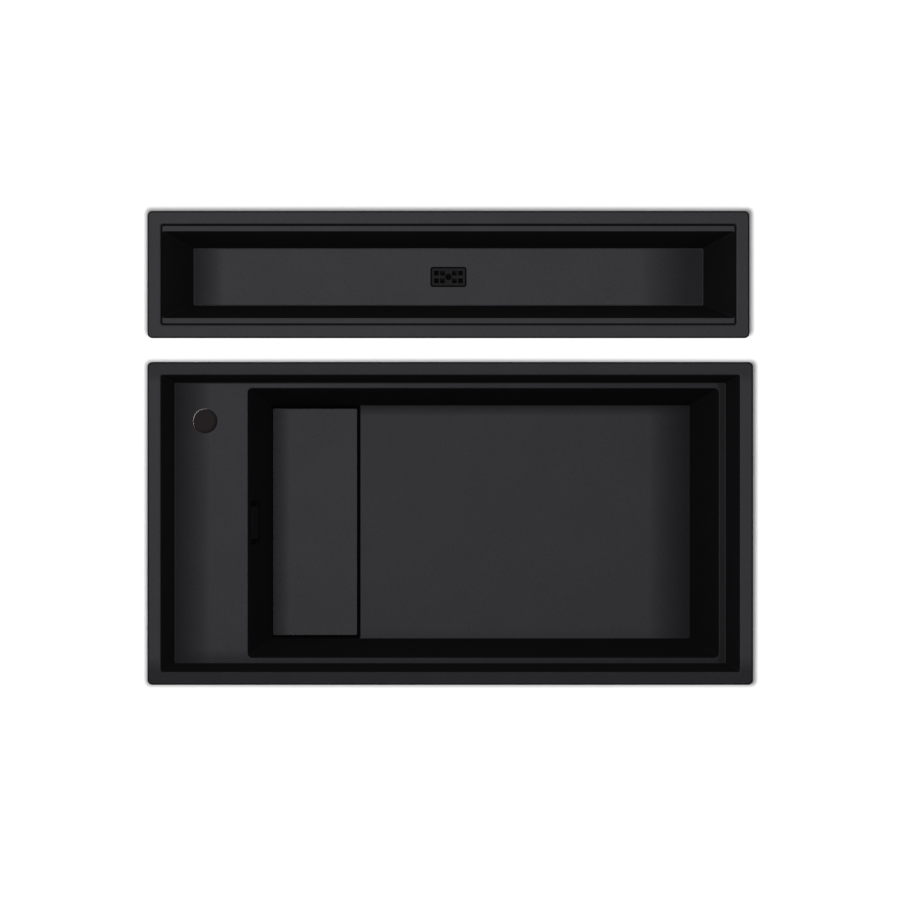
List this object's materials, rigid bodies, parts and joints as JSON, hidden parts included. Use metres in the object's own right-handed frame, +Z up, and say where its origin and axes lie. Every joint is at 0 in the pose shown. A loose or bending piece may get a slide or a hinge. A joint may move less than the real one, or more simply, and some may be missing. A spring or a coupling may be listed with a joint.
{
  "type": "kitchen sink",
  "caption": "Inset granite composite kitchen sink with recessed tap deck, ledges, lift-out drain cover and strainer waste, in a set with a narrow trough nearly as long.",
  "frame": {"origin": "middle of the sink's rim, level with the top of the rim", "axes": "+X along the sink away from the tap deck, +Y towards the trough behind it, +Z up"},
  "size_m": [0.86, 0.6729, 0.39],
  "materials": {
    "granite": "fine matt black granite composite",
    "dark_metal": "black coated steel",
    "steel": "brushed stainless steel",
    "zinc_steel": "zinc plated steel",
    "brass": "turned brass",
    "black_plastic": "moulded polypropylene",
    "grey_plastic": "moulded polypropylene pipe",
    "rubber": "matt black rubber",
    "foam": "closed-cell foam tape"
  },
  "bodies": {
    "sink": {"sink_body": "granite", "trough_body": "granite", "drain_grate": "dark_metal", "grate_screw": "dark_metal", "waste_flange": "steel", "waste_screw": "steel", "sink_clips": "zinc_steel", "trough_clips": "zinc_steel", "sink_clip_screws": "zinc_steel", "trough_clip_screws": "zinc_steel", "overflow_screws": "zinc_steel", "sink_inserts": "brass", "trough_inserts": "brass", "waste_body": "black_plastic", "overflow_housing": "black_plastic", "trough_trap": "black_plastic", "sink_tail_nut": "black_plastic", "trough_tail_nut": "black_plastic", "sink_tail_pipe": "grey_plastic", "trough_tail_pipe": "grey_plastic", "flange_gasket": "rubber", "body_gasket": "rubber", "overflow_gasket": "rubber", "trough_gasket": "rubber", "sink_tail_washer": "rubber", "trough_tail_washer": "rubber", "sink_seal": "foam", "trough_seal": "foam"},
    "cover": {"drain_cover": "granite", "cover_feet": "rubber"},
    "basket": {"strainer_basket": "steel", "basket_stopper": "rubber", "basket_stem": "steel"},
    "overflow_plate": {"overflow_cover": "dark_metal"}
  },
  "joints": [
    {"name": "cover_lift", "type": "slide", "parent": "sink", "child": "cover", "axis": [0, 0, 1], "range_m": [0, 0.27]},
    {"name": "basket_lift", "type": "slide", "parent": "sink", "child": "basket", "axis": [0, 0, 1], "range_m": [0, 0.008]},
    {"name": "overflow_pull", "type": "slide", "parent": "sink", "child": "overflow_plate", "axis": [0.9828, 0, 0.1847], "range_m": [0, 0.03]}
  ]
}
